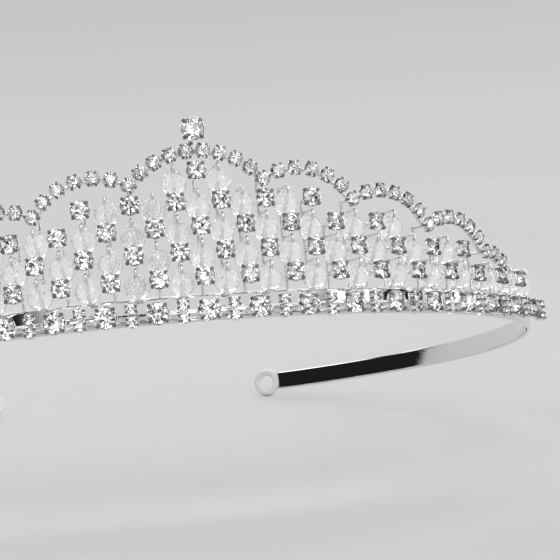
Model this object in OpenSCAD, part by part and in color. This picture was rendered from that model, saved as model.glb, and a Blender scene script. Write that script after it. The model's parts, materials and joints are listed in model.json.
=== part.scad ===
// Bridal tiara: a flat sprung headband with hairpin loops, a row of round stones along the
// front, and a wired wall of glass beads and claw-set stones under a scalloped stone chain.
// Built in the plane of the headband, then leant back so that it stands on its end loops.

/* [Headband] */
// Radius of the front of the headband, to the middle of the strip
band_front_r = 64; // [53:0.5:77]
// Radius of the two side arms
band_side_r = 78; // [65:0.5:95]
// Half angle of the front arc
front_half_angle = 60; // [57:1:70]
// Angle at which each arm ends, from the middle of the front
end_angle = 147; // [130:1:152]
// Width of the strip, from edge to edge
band_w = 3.8; // [3:0.1:5]
// Thickness of the strip
band_t = 0.8; // [0.6:0.1:1.2]
// Height of the strip's middle over the middle of the lowest stone row
band_rise = 1; // [0.5:0.1:1.5]
// Angle at which the tiara leans back on its end loops
lean = 12; // [0:1:25]

/* [End loops] */
// Radius of the hole that a hairpin goes through
loop_bore_r = 1.5; // [1:0.1:2.5]
// Radius of the wire that the loop is bent from
loop_wire_r = 0.75; // [0.5:0.05:1]
// Length of the straight wall of the hole
loop_wall = 0.8; // [0.4:0.1:1]

/* [Columns and rows] */
// Gap between a bead and the setting beside it, along the wall
column_gap = 0.13; // [0.1:0.01:0.4]
// How far each half of the wall is drawn in to the middle, in columns
wall_gather = 0.25; // [0:0.05:0.3]
// Gap between the uprights and the backs of the beads
wall_gap = 0.35; // [0.3:0.05:1.5]
// Gap between the lowest row of stones and the first row of beads
first_gap = 0.76; // [0.7:0.02:2]
// Gap between a bead and the setting over it in the same column
row_gap = 0.26; // [0.22:0.02:1]
// Distance of the claw-set stones' girdles in front of the bead centres
stone_out = 1.45; // [1.4:0.05:1.6]
// Gap between a bead and the cup just under it
cup_gap = 0.03; // [0.02:0.01:0.1]
// How much higher the single stone of the top row sits than the other stones do
top_lift = 0.8; // [0:0.1:0.8]

/* [Beads] */
// Diameter of a bead
bead_d = 3.6; // [3:0.1:4.4]
// Gap around the wire in the hole through a bead
bead_slack = 0.22; // [0.1:0.02:0.3]
// Angle that the hole leans forwards from upright
bead_lean = 38; // [30:1:45]
// Diameter of the wire through a bead
hook_d = 0.45; // [0.35:0.05:0.55]
// Bend radius of the hook over a bead
hook_bend_r = 0.5; // [0.45:0.05:0.7]
// Straight length of the hook between the bead and its bend
hook_clear = 0.25; // [0:0.05:0.25]
// Diameter of the flat head that stops the wire under a bead
hook_head_d = 1.1; // [1:0.05:1.2]
// Thickness of that head
hook_head_t = 0.25; // [0.2:0.05:0.4]

/* [Stones] */
// Diameter of the large stones in the lowest row
base_stone_d = 3; // [2.6:0.05:3.4]
// Diameter of the small stones that stand in pairs between them
pair_stone_d = 1.45; // [1.2:0.05:1.6]
// Diameter of the stones in the wall
wall_stone_d = 2.6; // [2.2:0.05:2.8]
// Diameter of the stones in the scalloped chain
chain_stone_d = 1.95; // [1.7:0.05:2.1]
// Diameter of the stone at the top
top_stone_d = 3.2; // [2.8:0.1:4]
// Distance of the lowest row's girdles in front of the headband's middle
base_out = 5.4; // [5:0.1:7]
// Wall of the cups that the stones sit in
cup_wall = 0.14; // [0.12:0.01:0.2]
// Gap between a stone and its cup
seat_gap = 0.03; // [0.02:0.01:0.05]
// Half width of the claws on the large settings
claw = 0.22; // [0.15:0.01:0.24]
// Half width of the claws on the small settings
small_claw = 0.13; // [0.1:0.01:0.15]

/* [Frame wires] */
// Diameter of the rail behind the lowest row
rail_d = 0.9; // [0.7:0.05:1.1]
// Diameter of the posts from the headband to the rail
post_d = 0.8; // [0.6:0.05:1]
// Diameter of the stems behind the claw-set stones of the wall
stem_d = 0.6; // [0.4:0.05:0.68]
// Diameter of the uprights on the headband
upright_d = 0.4; // [0.35:0.05:0.6]
// Diameter of the wire behind the scalloped chain
scallop_d = 0.6; // [0.5:0.05:0.7]
// Gap between the top row's hooks and the chain over them
chain_gap = 0.05; // [0.05:0.05:0.5]
// Rise of each side scallop over the line between its ends
side_rise = 2.8; // [2.6:0.1:3.4]
// Gap between the top stone's cup and the chain under it
top_gap = 0.1; // [0.1:0.05:2]

/* [Hidden] */
$fn = 48;
SIDES = [-1, 1];
ROWS = ["a", "b", "c", "d", "e"];
SCALLOPS = ["middle", "second", "third", "fourth", "end"];

// Last column of beads and of stones in each row, counted from the middle of the front
LAST_BEAD = [19, 12, 9, 4, 1];
LAST_STONE = [18, 13, 8, 5, 0];
LAST_COLUMN = 19;
// Columns, and rows below the first valley, where one scallop ends and the next begins
VALLEY_COLUMN = [3, 7, 11, 15, 16.5];
VALLEY_DROP = [0, 0.86, 1.83, 2.77, 3.11];

bead_r = bead_d / 2;
bead_bore_d = hook_d + 2 * bead_slack;
hook_reach = bead_r + hook_clear;
wall_cup_r = wall_stone_d / 2 + cup_wall;
wall_r = band_front_r + upright_d / 2 + wall_gap + bead_r;
column_step = (bead_r + wall_cup_r + column_gap) / wall_r * 180 / PI;
row_step = bead_r + wall_cup_r + row_gap;
first_row = base_stone_d / 2 + cup_wall + first_gap + bead_r;
wall_stone_r = wall_r + stone_out;
base_r = band_front_r + base_out;
small_gap = 0.06;

// Proportions of a round brilliant, as shares of its diameter
PAVILION = 0.43;
CROWN = 0.17;
GIRDLE = 0.03;
TABLE = 0.56;
cup_floor = 0.15;
// Height of a cup's straight rim, and radius of the flat on its back
RIM = 0.3;
BACK_R = 0.35;
function cup_depth(d) = PAVILION * d + cup_floor;

// The rail runs behind the cups of the lowest row, and the uprights stand on the strip
rail_r = base_r - cup_depth(base_stone_d) - rail_d / 2;
chain_r = wall_r + 1;
scallop_r = chain_r - cup_depth(chain_stone_d) - scallop_d / 2;
strip_top = band_rise + band_w / 2;
chain_cup_d = chain_stone_d + 2 * cup_wall;

function column_angle(k) = column_step * k;
function wall_angle(k) =
    column_step * (k - sign(k) * wall_gather * min(1, abs(k) / VALLEY_COLUMN[0]));
function row_height(r) = first_row + r * row_step;
// A stone is lifted until the back edge of its cup's rim just clears the bead over it
under_bead = sqrt(pow(bead_r + cup_gap, 2) - pow(stone_out - RIM, 2));
stone_lift = row_step - wall_cup_r - under_bead;
function stone_height(r) = row_height(r) + stone_lift + (r == len(ROWS) - 1 ? top_lift : 0);
// The crook of a hook: where its straight part ends, its bend's centre and its highest line
function hook_start() = [sin(bead_lean), cos(bead_lean)] * hook_reach;
function hook_centre() = hook_start() + hook_bend_r * [-cos(bead_lean), sin(bead_lean)];
hook_top = hook_centre()[1] + hook_bend_r;
function is_bead(r, k) = abs(k) <= LAST_BEAD[r] && abs(k + r) % 2 == 1;
function is_stone(r, k) = abs(k) <= LAST_STONE[r] && abs(k + r) % 2 == 0;
function bead_columns(r) = [for (k = [-LAST_BEAD[r] : LAST_BEAD[r]]) if (is_bead(r, k)) k];
function stone_columns(r) = [for (k = [-LAST_STONE[r] : LAST_STONE[r]]) if (is_stone(r, k)) k];
function base_columns() = [for (k = [-18 : 2 : 18]) k];
function pair_columns() = [for (k = [-LAST_COLUMN : 2 : LAST_COLUMN]) k];

// Scallops lie on the unrolled wall: distance along it, and height
valley_gap = 0.3;
end_bulge = 0.4;
// The first valley clears the stone under it, and the second clears the hook of row c under it
over_stone = stone_lift + wall_cup_r + chain_cup_d / 2 + valley_gap;
over_hook = hook_top + (hook_d + chain_cup_d) / 2 + chain_gap;
first_valley = row_height(3) + max(over_stone, over_hook - (1 - VALLEY_DROP[1]) * row_step);
// The middle scallop clears the hooks of the top row, which stand a column to each side
over_hooks = row_height(len(ROWS) - 1) + over_hook;
hook_share = wall_angle(1) / wall_angle(VALLEY_COLUMN[0]);
middle_rise = (over_hooks - first_valley) / (1 - pow(hook_share, 2));
function valley(i) =
    [wall_angle(VALLEY_COLUMN[i]) * PI / 180 * chain_r, first_valley - VALLEY_DROP[i] * row_step];
function scallop_ends(s) =
    s == 0 ? [[-valley(0)[0], valley(0)[1]], valley(0)] : [valley(s - 1), valley(s)];
function scallop_bulge(s) = s == 0 ? middle_rise : s == len(SCALLOPS) - 1 ? end_bulge : side_rise;
function arc_radius(c, h) = (c * c / 4 + h * h) / (2 * h);
function scallop_arc(s) =
    let (e = scallop_ends(s), c = norm(e[1] - e[0]), h = scallop_bulge(s), r = arc_radius(c, h),
         u = (e[1] - e[0]) / c, mid = (e[0] + e[1]) / 2, n = [-u[1], u[0]])
    [mid - n * (r - h), r, asin(c / 2 / r), atan2(u[1], u[0])];
function scallop_count(s) =
    let (a = scallop_arc(s)) floor(2 * a[2] * PI / 180 * a[1] / (chain_cup_d + small_gap));
// Distance, height and slope of the chain at share t of scallop s
function chain_place(s, t) =
    let (a = scallop_arc(s), g = a[3] + 90 + a[2] * (1 - 2 * t))
    [a[0][0] + a[1] * cos(g), a[0][1] + a[1] * sin(g), g - 90];
function chain_steps(s) = [for (i = [(s == 0 ? 0 : 1) : scallop_count(s)]) i / scallop_count(s)];
function chain_angle(p) = p[0] / chain_r * 180 / PI;
function polar(r, a, z) = [r * sin(a), -r * cos(a), z];
peak_height = chain_place(0, 0.5)[1];

// The front arc reaches past the last column, and the arms run on from it without a kink
arc_half_angle = max(front_half_angle, column_angle(LAST_COLUMN) + 2);
arm_centre = (band_front_r - band_side_r) * [sin(arc_half_angle), -cos(arc_half_angle)];
loop_mid_r = loop_bore_r + loop_wire_r;
loop_out_r = loop_bore_r + 2 * loop_wire_r;
strip_end_angle = end_angle - asin((loop_out_r - loop_wire_r / 2) / band_side_r);
loop_place = arm_centre + band_side_r * [sin(end_angle), -cos(end_angle)];
loop_reach = loop_mid_r * sqrt(1 - pow(cos(end_angle) * sin(lean), 2)) + loop_wire_r;

// Height and depth that put the loops on z = 0 and the middle of the box over the origin
loop_low = -loop_place[1] * sin(lean) + band_rise * cos(lean) - loop_reach;
front_y = -(base_r + (GIRDLE + CROWN) * base_stone_d) * cos(lean);
rear_y = (loop_place[1] + loop_out_r * sin(180 - end_angle)) * cos(lean)
    + (band_rise + loop_mid_r / 2) * sin(lean);

module stand() {
    translate([0, -(front_y + rear_y) / 2, -loop_low]) rotate([-lean, 0, 0]) children();
}
module spoke(angle, r, z) {
    rotate([0, 0, angle]) translate([0, -r, z]) children();
}
module facing_out(spin = 0) {
    rotate([90, 0, 0]) rotate([0, 0, spin]) children();
}
// A flat strip with broken edges, bent to radius r over an angle. A key inside the strip holds
// two of them together where they meet.
module strip_arc(r, angle) {
    edge = 0.3 * band_t;
    half_t = band_t / 2;
    half_w = band_w / 2;
    rotate_extrude(angle = angle) translate([r, 0]) polygon([
        [half_t, edge - half_w], [half_t, half_w - edge], [half_t - edge, half_w],
        [edge - half_t, half_w], [-half_t, half_w - edge], [-half_t, edge - half_w],
        [edge - half_t, -half_w], [half_t - edge, -half_w]
    ]);
}
module wire_arc(r, half_angle, d) {
    rotate([0, 0, -90 - half_angle]) rotate_extrude(angle = 2 * half_angle)
        translate([r, 0]) circle(d = d);
}

// A closed skin over rings that all have the same number of points
module skin(rings) {
    n = len(rings[0]);
    last = len(rings) - 1;
    sides = [for (j = [0 : last - 1]) for (i = [0 : n - 1])
        [j * n + i, j * n + (i + 1) % n, (j + 1) * n + (i + 1) % n, (j + 1) * n + i]];
    ends = [[for (i = [n - 1 : -1 : 0]) i], [for (i = [0 : n - 1]) last * n + i]];
    polyhedron([for (ring = rings) each ring], concat(sides, ends));
}

module stone(d) {
    color("whitesmoke") rotate_extrude() polygon([
        [0, -PAVILION * d], [d / 2, 0], [d / 2, GIRDLE * d],
        [TABLE * d / 2, (GIRDLE + CROWN) * d], [0, (GIRDLE + CROWN) * d]
    ]);
}
// A cup for a stone of diameter d, with four flat claws of half width c over its crown
module setting(d, c, claws) {
    r = d / 2;
    rim = r + cup_wall;
    inner = r + seat_gap;
    outer = inner + 1.6 * c;
    slope = CROWN / (1 - TABLE) * 2;
    reach = 0.1 * d;
    sole = GIRDLE * d + 1.5 * seat_gap;
    rotate_extrude() polygon([
        [0, -PAVILION * d - seat_gap * 2], [inner, 0], [rim, 0],
        [rim, -RIM], [BACK_R, -cup_depth(d)], [0, -cup_depth(d)]
    ]);
    for (a = claws) rotate([90, 0, a]) linear_extrude(height = 2 * c, center = true) polygon([
        [inner, -RIM / 2], [outer, -RIM / 2], [outer, sole + c],
        [r - reach, sole + slope * reach + 1.6 * c], [r - reach, sole + slope * reach], [inner, sole]
    ]);
}
// A stem on the back of a cup for a stone of diameter d
module cup_stem(d, length, stem_d) {
    translate([0, 0, -cup_depth(d) - length]) cylinder(h = length, d = stem_d);
}
SQUARE_CLAWS = [45 : 90 : 315];
CHAIN_CLAWS = [60, 120, 240, 300];
PAIR_CLAWS = [-30, 30, 150, 210];

module headband() {
    color("silver") stand() translate([0, 0, band_rise]) {
        rotate([0, 0, -90 - arc_half_angle]) strip_arc(band_front_r, 2 * arc_half_angle);
        for (side = [0, 1]) mirror([side, 0, 0]) {
            translate(arm_centre) rotate([0, 0, arc_half_angle - 90])
                strip_arc(band_side_r, strip_end_angle - arc_half_angle);
            spoke(arc_half_angle, band_front_r, 0) cube([band_t, band_t / 2, band_w / 2], center = true);
        }
    }
}
module end_loop(side) {
    color("gainsboro") stand()
        translate([side * loop_place[0], loop_place[1], band_rise])
            rotate([90, 0, side * end_angle]) rotate_extrude() {
                translate([loop_mid_r, 0]) circle(r = loop_wire_r);
                translate([loop_bore_r, -loop_wall / 2]) square([loop_wire_r, loop_wall]);
            }
}
module rail() {
    color("silver") stand() wire_arc(rail_r, column_angle(LAST_COLUMN) + 0.7, rail_d);
}
module rail_posts() {
    length = rail_r - rail_d / 2 - band_front_r - band_t / 2;
    color("silver") stand() for (k = pair_columns())
        spoke(column_angle(k), band_front_r + band_t / 2, 0) facing_out() cylinder(h = length, d = post_d);
}
module base_settings() {
    color("silver") stand() for (k = base_columns())
        spoke(column_angle(k), base_r, 0) facing_out() setting(base_stone_d, claw, SQUARE_CLAWS);
}
module base_stones() {
    stand() for (k = base_columns())
        spoke(column_angle(k), base_r, 0) facing_out() stone(base_stone_d);
}
// Two small cups share one upright bar, and the bar's stem reaches the rail
pair_half = pair_stone_d / 2 + cup_wall + small_gap / 2;
bar_t = 0.4;
bar_w = 0.9;
module pair_settings() {
    depth = cup_depth(pair_stone_d);
    stem = cup_depth(base_stone_d) - depth - bar_t;
    color("silver") stand() for (k = pair_columns()) spoke(column_angle(k), base_r, 0) facing_out() {
        for (side = SIDES) translate([0, side * pair_half, 0])
            setting(pair_stone_d, small_claw, PAIR_CLAWS);
        translate([-bar_w / 2, -pair_half - bar_w / 2, -depth - bar_t])
            cube([bar_w, 2 * pair_half + bar_w, bar_t]);
        translate([0, 0, -depth - bar_t - stem]) cylinder(h = stem, d = post_d);
    }
}
module pair_stones() {
    stand() for (k = pair_columns()) for (side = SIDES)
        spoke(column_angle(k), base_r, side * pair_half) facing_out() stone(pair_stone_d);
}

module beads(r) {
    color("azure") stand() for (k = bead_columns(r)) spoke(wall_angle(k), wall_r, row_height(r))
        difference() {
            sphere(d = bead_d);
            rotate([bead_lean, 0, 0]) cylinder(h = 2 * bead_d, d = bead_bore_d, center = true);
        }
}
// The wire through a bead: a flat head under it, a straight run, a bend and a run back to the
// upright. A ring of it stands at a depth and height from the bead's centre, tilted by an angle.
HOOK_SIDES = 6;
HOOK_TURNS = 4;
function hook_ring(depth, height, tilt, d) = [for (i = [0 : HOOK_SIDES - 1])
    let (g = 360 * i / HOOK_SIDES, across = d / 2 * cos(g), over = d / 2 * sin(g))
    [across, depth - over * cos(tilt), height + over * sin(tilt)]];
function shank_ring(t, d) = hook_ring(-t * sin(bead_lean), t * cos(bead_lean), -bead_lean, d);
module hooks(r) {
    c = hook_centre();
    turns = [for (i = [0 : HOOK_TURNS]) (90 + bead_lean) * i / HOOK_TURNS - bead_lean];
    rings = concat(
        [shank_ring(-bead_r - hook_head_t, hook_head_d), shank_ring(-bead_r, hook_head_d)],
        [shank_ring(-bead_r, hook_d)],
        [for (a = turns)
            hook_ring(-c[0] - hook_bend_r * cos(a), c[1] + hook_bend_r * sin(a), a, hook_d)],
        [hook_ring(wall_r - band_front_r - upright_d / 2, hook_top, 90, hook_d)]
    );
    color("silver") stand() for (k = bead_columns(r))
        spoke(wall_angle(k), wall_r, row_height(r)) skin(rings);
}
module settings(r) {
    stem = wall_stone_r - cup_depth(wall_stone_d) - band_front_r - upright_d / 2;
    color("silver") stand() for (k = stone_columns(r))
        spoke(wall_angle(k), wall_stone_r, stone_height(r)) facing_out() {
            setting(wall_stone_d, claw, SQUARE_CLAWS);
            cup_stem(wall_stone_d, stem, stem_d);
        }
}
module stones(r) {
    stand() for (k = stone_columns(r))
        spoke(wall_angle(k), wall_stone_r, stone_height(r)) facing_out() stone(wall_stone_d);
}
// The highest thing that each column's upright has to hold
function column_top(k) = max([0, for (r = [0 : len(ROWS) - 1])
    is_stone(r, k) ? stone_height(r) : is_bead(r, k) ? row_height(r) + hook_top + hook_d / 2 : 0]);
function is_valley(k) = len([for (v = VALLEY_COLUMN) if (v == abs(k)) v]) > 0;
module uprights() {
    color("silver") stand() for (k = [-LAST_COLUMN : LAST_COLUMN]) {
        v = is_valley(k) ? valley((abs(k) - 3) / 4)[1] : 0;
        top = max(column_top(k), v + (v > 0 ? upright_d / 2 : 0));
        spoke(wall_angle(k), band_front_r, strip_top) cylinder(h = top - strip_top, d = upright_d);
        if (v > 0) spoke(wall_angle(k), band_front_r, v)
            facing_out() cylinder(h = scallop_r - band_front_r - scallop_d / 2, d = upright_d);
    }
}

// The round wire behind the chain, as rings of WIRE_SIDES points
WIRE_SIDES = 8;
function wire_ring(p, r) =
    let (a = chain_angle(p), out = [sin(a), -cos(a), 0],
         up = [-sin(p[2]) * cos(a), -sin(p[2]) * sin(a), cos(p[2])])
    [for (i = [0 : WIRE_SIDES - 1]) let (g = 360 * i / WIRE_SIDES)
        polar(scallop_r, a, p[1]) + r * (cos(g) * out + sin(g) * up)];
module scallop_wire(s) {
    n = scallop_count(s);
    places = [for (i = [0 : n]) chain_place(s, i / n)];
    color("silver") stand() for (side = s == 0 ? [1] : SIDES) mirror([side < 0 ? 1 : 0, 0, 0])
        skin([for (p = places) wire_ring(p, scallop_d / 2)]);
}
module on_chain(s) {
    for (side = s == 0 ? [1] : SIDES) mirror([side < 0 ? 1 : 0, 0, 0])
        for (t = chain_steps(s)) {
            p = chain_place(s, t);
            spoke(chain_angle(p), chain_r, p[1]) facing_out(p[2]) children();
        }
}
module chain_settings(s) {
    color("silver") stand() on_chain(s) setting(chain_stone_d, small_claw, CHAIN_CLAWS);
}
module chain_stones(s) {
    stand() on_chain(s) stone(chain_stone_d);
}

top_stone_rise = top_stone_d / 2 + cup_wall + chain_cup_d / 2 + top_gap;
top_height = peak_height + top_stone_rise;
// The stem stands on the wire, and its front is level with the backs of the chain's cups
top_stem_r = scallop_r + (scallop_d - post_d) / 2;
top_r = top_stem_r + post_d / 2 + cup_depth(top_stone_d);
module top_stem() {
    color("silver") stand() spoke(0, top_stem_r, peak_height + scallop_d / 2)
        cylinder(h = top_stone_rise - scallop_d / 2, d = post_d);
}
module top_setting() {
    color("silver") stand() spoke(0, top_r, top_height)
        facing_out() setting(top_stone_d, claw, SQUARE_CLAWS);
}
module top_stone() {
    stand() spoke(0, top_r, top_height) facing_out() stone(top_stone_d);
}

headband();
end_loop(-1);  // end_loop_left
end_loop(1);  // end_loop_right
rail();
rail_posts();
base_settings();
base_stones();
pair_settings();
pair_stones();
uprights();
top_stem();
top_setting();
top_stone();
for (r = [0 : len(ROWS) - 1]) {
    beads(r);
    hooks(r);
    settings(r);
    stones(r);
}
for (s = [0 : len(SCALLOPS) - 1]) {
    scallop_wire(s);
    chain_settings(s);
    chain_stones(s);
}
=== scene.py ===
"""Bridal tiara: a sprung headband that carries a stone-set base row and a wired wall of faceted
glass beads and claw-set stones, under a scalloped chain of small stones."""

import json
import math
import random

import bpy
import numpy as np
from bpy.props import (
    FloatProperty,
    FloatVectorProperty,
    IntProperty,
    PointerProperty,
)
from mathutils import Matrix, Vector


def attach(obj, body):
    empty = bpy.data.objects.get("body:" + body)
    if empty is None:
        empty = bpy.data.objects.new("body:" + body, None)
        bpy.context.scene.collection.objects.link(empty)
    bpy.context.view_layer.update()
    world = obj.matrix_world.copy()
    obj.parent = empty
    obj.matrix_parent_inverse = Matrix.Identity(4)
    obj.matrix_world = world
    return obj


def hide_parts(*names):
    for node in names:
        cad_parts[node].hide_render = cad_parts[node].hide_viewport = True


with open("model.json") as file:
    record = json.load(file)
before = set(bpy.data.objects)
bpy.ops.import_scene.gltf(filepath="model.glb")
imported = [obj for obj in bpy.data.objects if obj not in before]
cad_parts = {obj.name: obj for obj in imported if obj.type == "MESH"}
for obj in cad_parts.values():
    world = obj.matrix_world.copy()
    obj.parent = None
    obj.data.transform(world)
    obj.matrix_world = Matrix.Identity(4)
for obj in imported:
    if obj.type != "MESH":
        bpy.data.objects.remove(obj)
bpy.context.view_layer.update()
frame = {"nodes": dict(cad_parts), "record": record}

bl_info = {
    "name": "Bridal Tiara",
    "version": (1, 0, 0),
    "blender": (4, 5, 0),
    "location": "3D View > Sidebar > Tiara",
    "description": "Builds a beaded and stone-set bridal tiara on its headband",
    "category": "Object",
}

ROWS = ("a", "b", "c", "d", "e")
SCALLOPS = ("middle", "second", "third", "fourth", "end")
KEPT_WIRES = ("rail", "rail_posts", "uprights", "top_stem")
# Material slots of a stone and of a setting
GLASS, FOIL = 0, 1
CLAW, CUP = 0, 1
# Angles of the claws around a stone, in degrees
SQUARE = (45, 135, 225, 315)
CHAIN = (60, 120, 240, 300)
PAIR = (-30, 30, 150, 210)
# Thickness of a cup behind the tip of its stone, and diameter of the stems behind the cups
CUP_FLOOR = 0.00015
STEM_D = 0.0006
# Width and thickness of the bar behind a pair of small cups, and diameter of its stem
BAR_W, BAR_T, POST_D = 0.0009, 0.0004, 0.0008


# ---------------------------------------------------------------- sizes and finishes


def number_prop(name, description, default, **kind):
    return FloatProperty(name=name, description=description, default=default, **kind)


def length_prop(name, description, default):
    return number_prop(name, description, default, unit="LENGTH")


def share_prop(name, description, default):
    return number_prop(name, description, default, subtype="FACTOR")


def angle_prop(name, description, degrees):
    return number_prop(name, description, math.radians(degrees), subtype="ANGLE")


def colour_prop(name, description, default):
    return FloatVectorProperty(
        name=name, description=description, default=default, subtype="COLOR"
    )


class TIARA_PG_band(bpy.types.PropertyGroup):
    """The headband, its end loops and the plane that the whole tiara is built in"""

    front_radius: length_prop("Front Radius", "Radius of the front of the headband", 0.064)
    side_radius: length_prop("Side Radius", "Radius of the two side arms", 0.078)
    front_half_angle: angle_prop(
        "Front Half Angle", "Half of the angle that the front arc covers", 60
    )
    end_angle: angle_prop("End Angle", "Angle of each end loop from the middle of the front", 147)
    lean: angle_prop("Lean", "Angle at which the band leans back on its end loops", 12)
    rise: length_prop("Rise", "Height of the strip's middle over the lowest row of stones", 0.001)
    width: length_prop("Strip Width", "Width of the strip from edge to edge", 0.0038)
    thickness: length_prop("Strip Thickness", "Thickness of the strip", 0.0008)
    loop_bore: length_prop("Loop Bore Radius", "Radius of the hole in an end loop", 0.0015)
    loop_wire: length_prop(
        "Loop Wire Radius", "Radius of the wire that an end loop is bent from", 0.00075
    )


class TIARA_PG_stones(bpy.types.PropertyGroup):
    """Proportions and colours of the cut stones and of the claws that hold them"""

    table: share_prop("Table", "Width of the table as a share of the stone's diameter", 0.56)
    crown: share_prop("Crown", "Height of the crown as a share of the diameter", 0.17)
    girdle: share_prop("Girdle", "Height of the girdle as a share of the diameter", 0.03)
    pavilion: share_prop("Pavilion", "Depth of the pavilion as a share of the diameter", 0.43)
    turn: angle_prop(
        "Hand Set Turn", "Largest turn of a stone in its claws from where its neighbour sits", 18
    )
    tip: angle_prop("Hand Set Tip", "Largest tip of a stone in its claws", 3.5)
    ior: number_prop("Refraction", "Refractive index of the stones", 1.62)
    cup_wall: length_prop("Cup Wall", "Wall of the cups that the stones sit in", 0.00014)
    seat: length_prop("Seat Gap", "Gap between a stone and its cup", 0.00003)
    claw: length_prop("Claw Width", "Width of a claw on a large setting", 0.0004)
    small_claw: length_prop("Small Claw Width", "Width of a claw on a small setting", 0.00027)


class TIARA_PG_beads(bpy.types.PropertyGroup):
    """The faceted glass beads and the wires that they hang on"""

    columns: IntProperty(
        name="Facet Columns",
        description="Number of facets around a bead",
        default=16,
        min=6,
    )
    lean: angle_prop("Hole Lean", "Angle that the hole leans forwards from upright", 38)
    bore: length_prop("Hole Diameter", "Diameter of the hole through a bead", 0.00054)
    ior: number_prop("Refraction", "Refractive index of the bead glass", 1.45)
    wire: length_prop("Wire Diameter", "Diameter of the wire through a bead", 0.00045)
    bend: length_prop("Hook Bend Radius", "Bend radius of the wire over a bead", 0.0005)
    upright: length_prop(
        "Upright Diameter",
        "Diameter of the uprights that the bead wires and stems reach back to",
        0.0004,
    )
    clear: length_prop(
        "Hook Clearance", "Straight length of the wire between the bead and its bend", 0.00025
    )
    scallop_wire: length_prop(
        "Scallop Wire Diameter", "Diameter of the wire behind the scalloped chain", 0.0006
    )


class TIARA_PG_finish(bpy.types.PropertyGroup):
    """Colours of the metals and the glass"""

    strip_colour: colour_prop("Strip", "Colour of the polished strip", (0.80, 0.80, 0.81))
    wire_colour: colour_prop("Wire", "Colour of the bright wires", (0.88, 0.88, 0.89))
    cup_colour: colour_prop("Cups", "Colour of the cups behind the stones", (0.92, 0.92, 0.93))
    # Painted shade: the claws are the cups' bright metal, darkened here so that they read as dark
    # dots
    claw_colour: colour_prop("Claws", "Colour of the claws", (0.24, 0.24, 0.25))
    loop_colour: colour_prop("Loops", "Colour of the end loops", (0.76, 0.76, 0.77))
    stone_colour: colour_prop("Stones", "Colour of the clear stones", (0.98, 0.98, 0.985))
    foil_colour: colour_prop("Foil", "Colour of the foil behind a stone", (0.95, 0.95, 0.96))
    bead_colour: colour_prop("Beads", "Colour of the bead glass", (0.99, 0.99, 0.99))


class TIARA_PG_stage(bpy.types.PropertyGroup):
    """The table, the studio around it and the camera"""

    floor_size: length_prop("Floor Size", "Width of the pale table", 8.0)
    floor_colour: colour_prop("Floor", "Colour of the pale table", (0.59, 0.59, 0.59))
    backdrop: number_prop("Backdrop", "Brightness of the pale backdrop behind the tiara", 0.66)
    horizon: number_prop(
        "Horizon", "Brightness of the backdrop just over the table's far edge", 0.64
    )
    ceiling: number_prop("Ceiling", "Brightness of the soft boxes over the table", 2.1)
    lamps: number_prop("Lamps", "Brightness of the tall lamps in front of the tiara", 5.5)
    room: number_prop("Room", "Brightness of the grey room in front of the tiara", 0.78)
    dark: number_prop("Dark Side", "Brightness of the dark studio in front of the tiara", 0.015)
    key: FloatProperty(
        name="Key Light",
        description="Power of the soft box over the table",
        default=0.17,
        unit="POWER",
    )
    lens: number_prop("Lens", "Focal length of the camera in millimetres", 104.77)
    camera_place: FloatVectorProperty(
        name="Camera Place",
        description="Where the camera stands",
        default=(-0.0290, -0.28766, 0.0492),
        subtype="TRANSLATION",
    )
    camera_aim: FloatVectorProperty(
        name="Camera Aim",
        description="Direction in which the camera looks",
        default=(0.1753, 0.9823, -0.0651),
        subtype="DIRECTION",
    )
    camera_roll: angle_prop(
        "Camera Roll", "Turn of the camera about the way it looks, from the band's upright", -5.4
    )


GROUPS = (
    TIARA_PG_band,
    TIARA_PG_stones,
    TIARA_PG_beads,
    TIARA_PG_finish,
    TIARA_PG_stage,
)


def settings(group):
    return getattr(bpy.context.scene, "tiara_" + group)


# ---------------------------------------------------------------- places on the band


def band_matrix():
    """From the plane of the band, with the middle of the front arc at its origin, to the model."""
    band = settings("band")
    loop = next(m for m in frame["record"]["mounts"] if m["name"].endswith("right"))
    place = end_place(1)
    turn = Matrix.Rotation(-band.lean, 4, "X")
    return Matrix.Translation(Vector(loop["pos_m"]) - turn @ place) @ turn


def arm_centre(side):
    band = settings("band")
    gap = band.front_radius - band.side_radius
    a = band.front_half_angle
    return Vector((side * gap * math.sin(a), -gap * math.cos(a), 0))


def end_place(side):
    band = settings("band")
    a = band.end_angle
    arm = Vector((side * math.sin(a), -math.cos(a), 0)) * band.side_radius
    return arm_centre(side) + arm + Vector((0, 0, band.rise))


def spoke(angle, radius, height):
    """A place on the wall whose z axis looks outwards and whose y axis is up."""
    return (
        Matrix.Rotation(angle, 4, "Z")
        @ Matrix.Translation((0, -radius, height))
        @ Matrix.Rotation(math.pi / 2, 4, "X")
    )


def islands(node):
    """The separate solids of a node, as arrays of points in the plane of the band."""
    mesh = frame["nodes"][node].data
    co = np.empty(len(mesh.vertices) * 3)
    mesh.vertices.foreach_get("co", co)
    co = co.reshape(-1, 3)
    _, first, weld = np.unique(
        np.round(co, 6), axis=0, return_index=True, return_inverse=True
    )
    weld = weld.reshape(-1)
    ends = np.empty(len(mesh.edges) * 2, int)
    mesh.edges.foreach_get("vertices", ends)
    ends = weld[ends].reshape(-1, 2)
    label = np.arange(len(first))
    while True:
        new = label.copy()
        np.minimum.at(new, ends[:, 0], label[ends[:, 1]])
        np.minimum.at(new, ends[:, 1], label[ends[:, 0]])
        new = new[new]
        if (new == label).all():
            break
        label = new
    back = np.array(band_matrix().inverted())
    points = co[first] @ back[:3, :3].T + back[:3, 3]
    return [points[label == i] for i in np.unique(label)]


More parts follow.
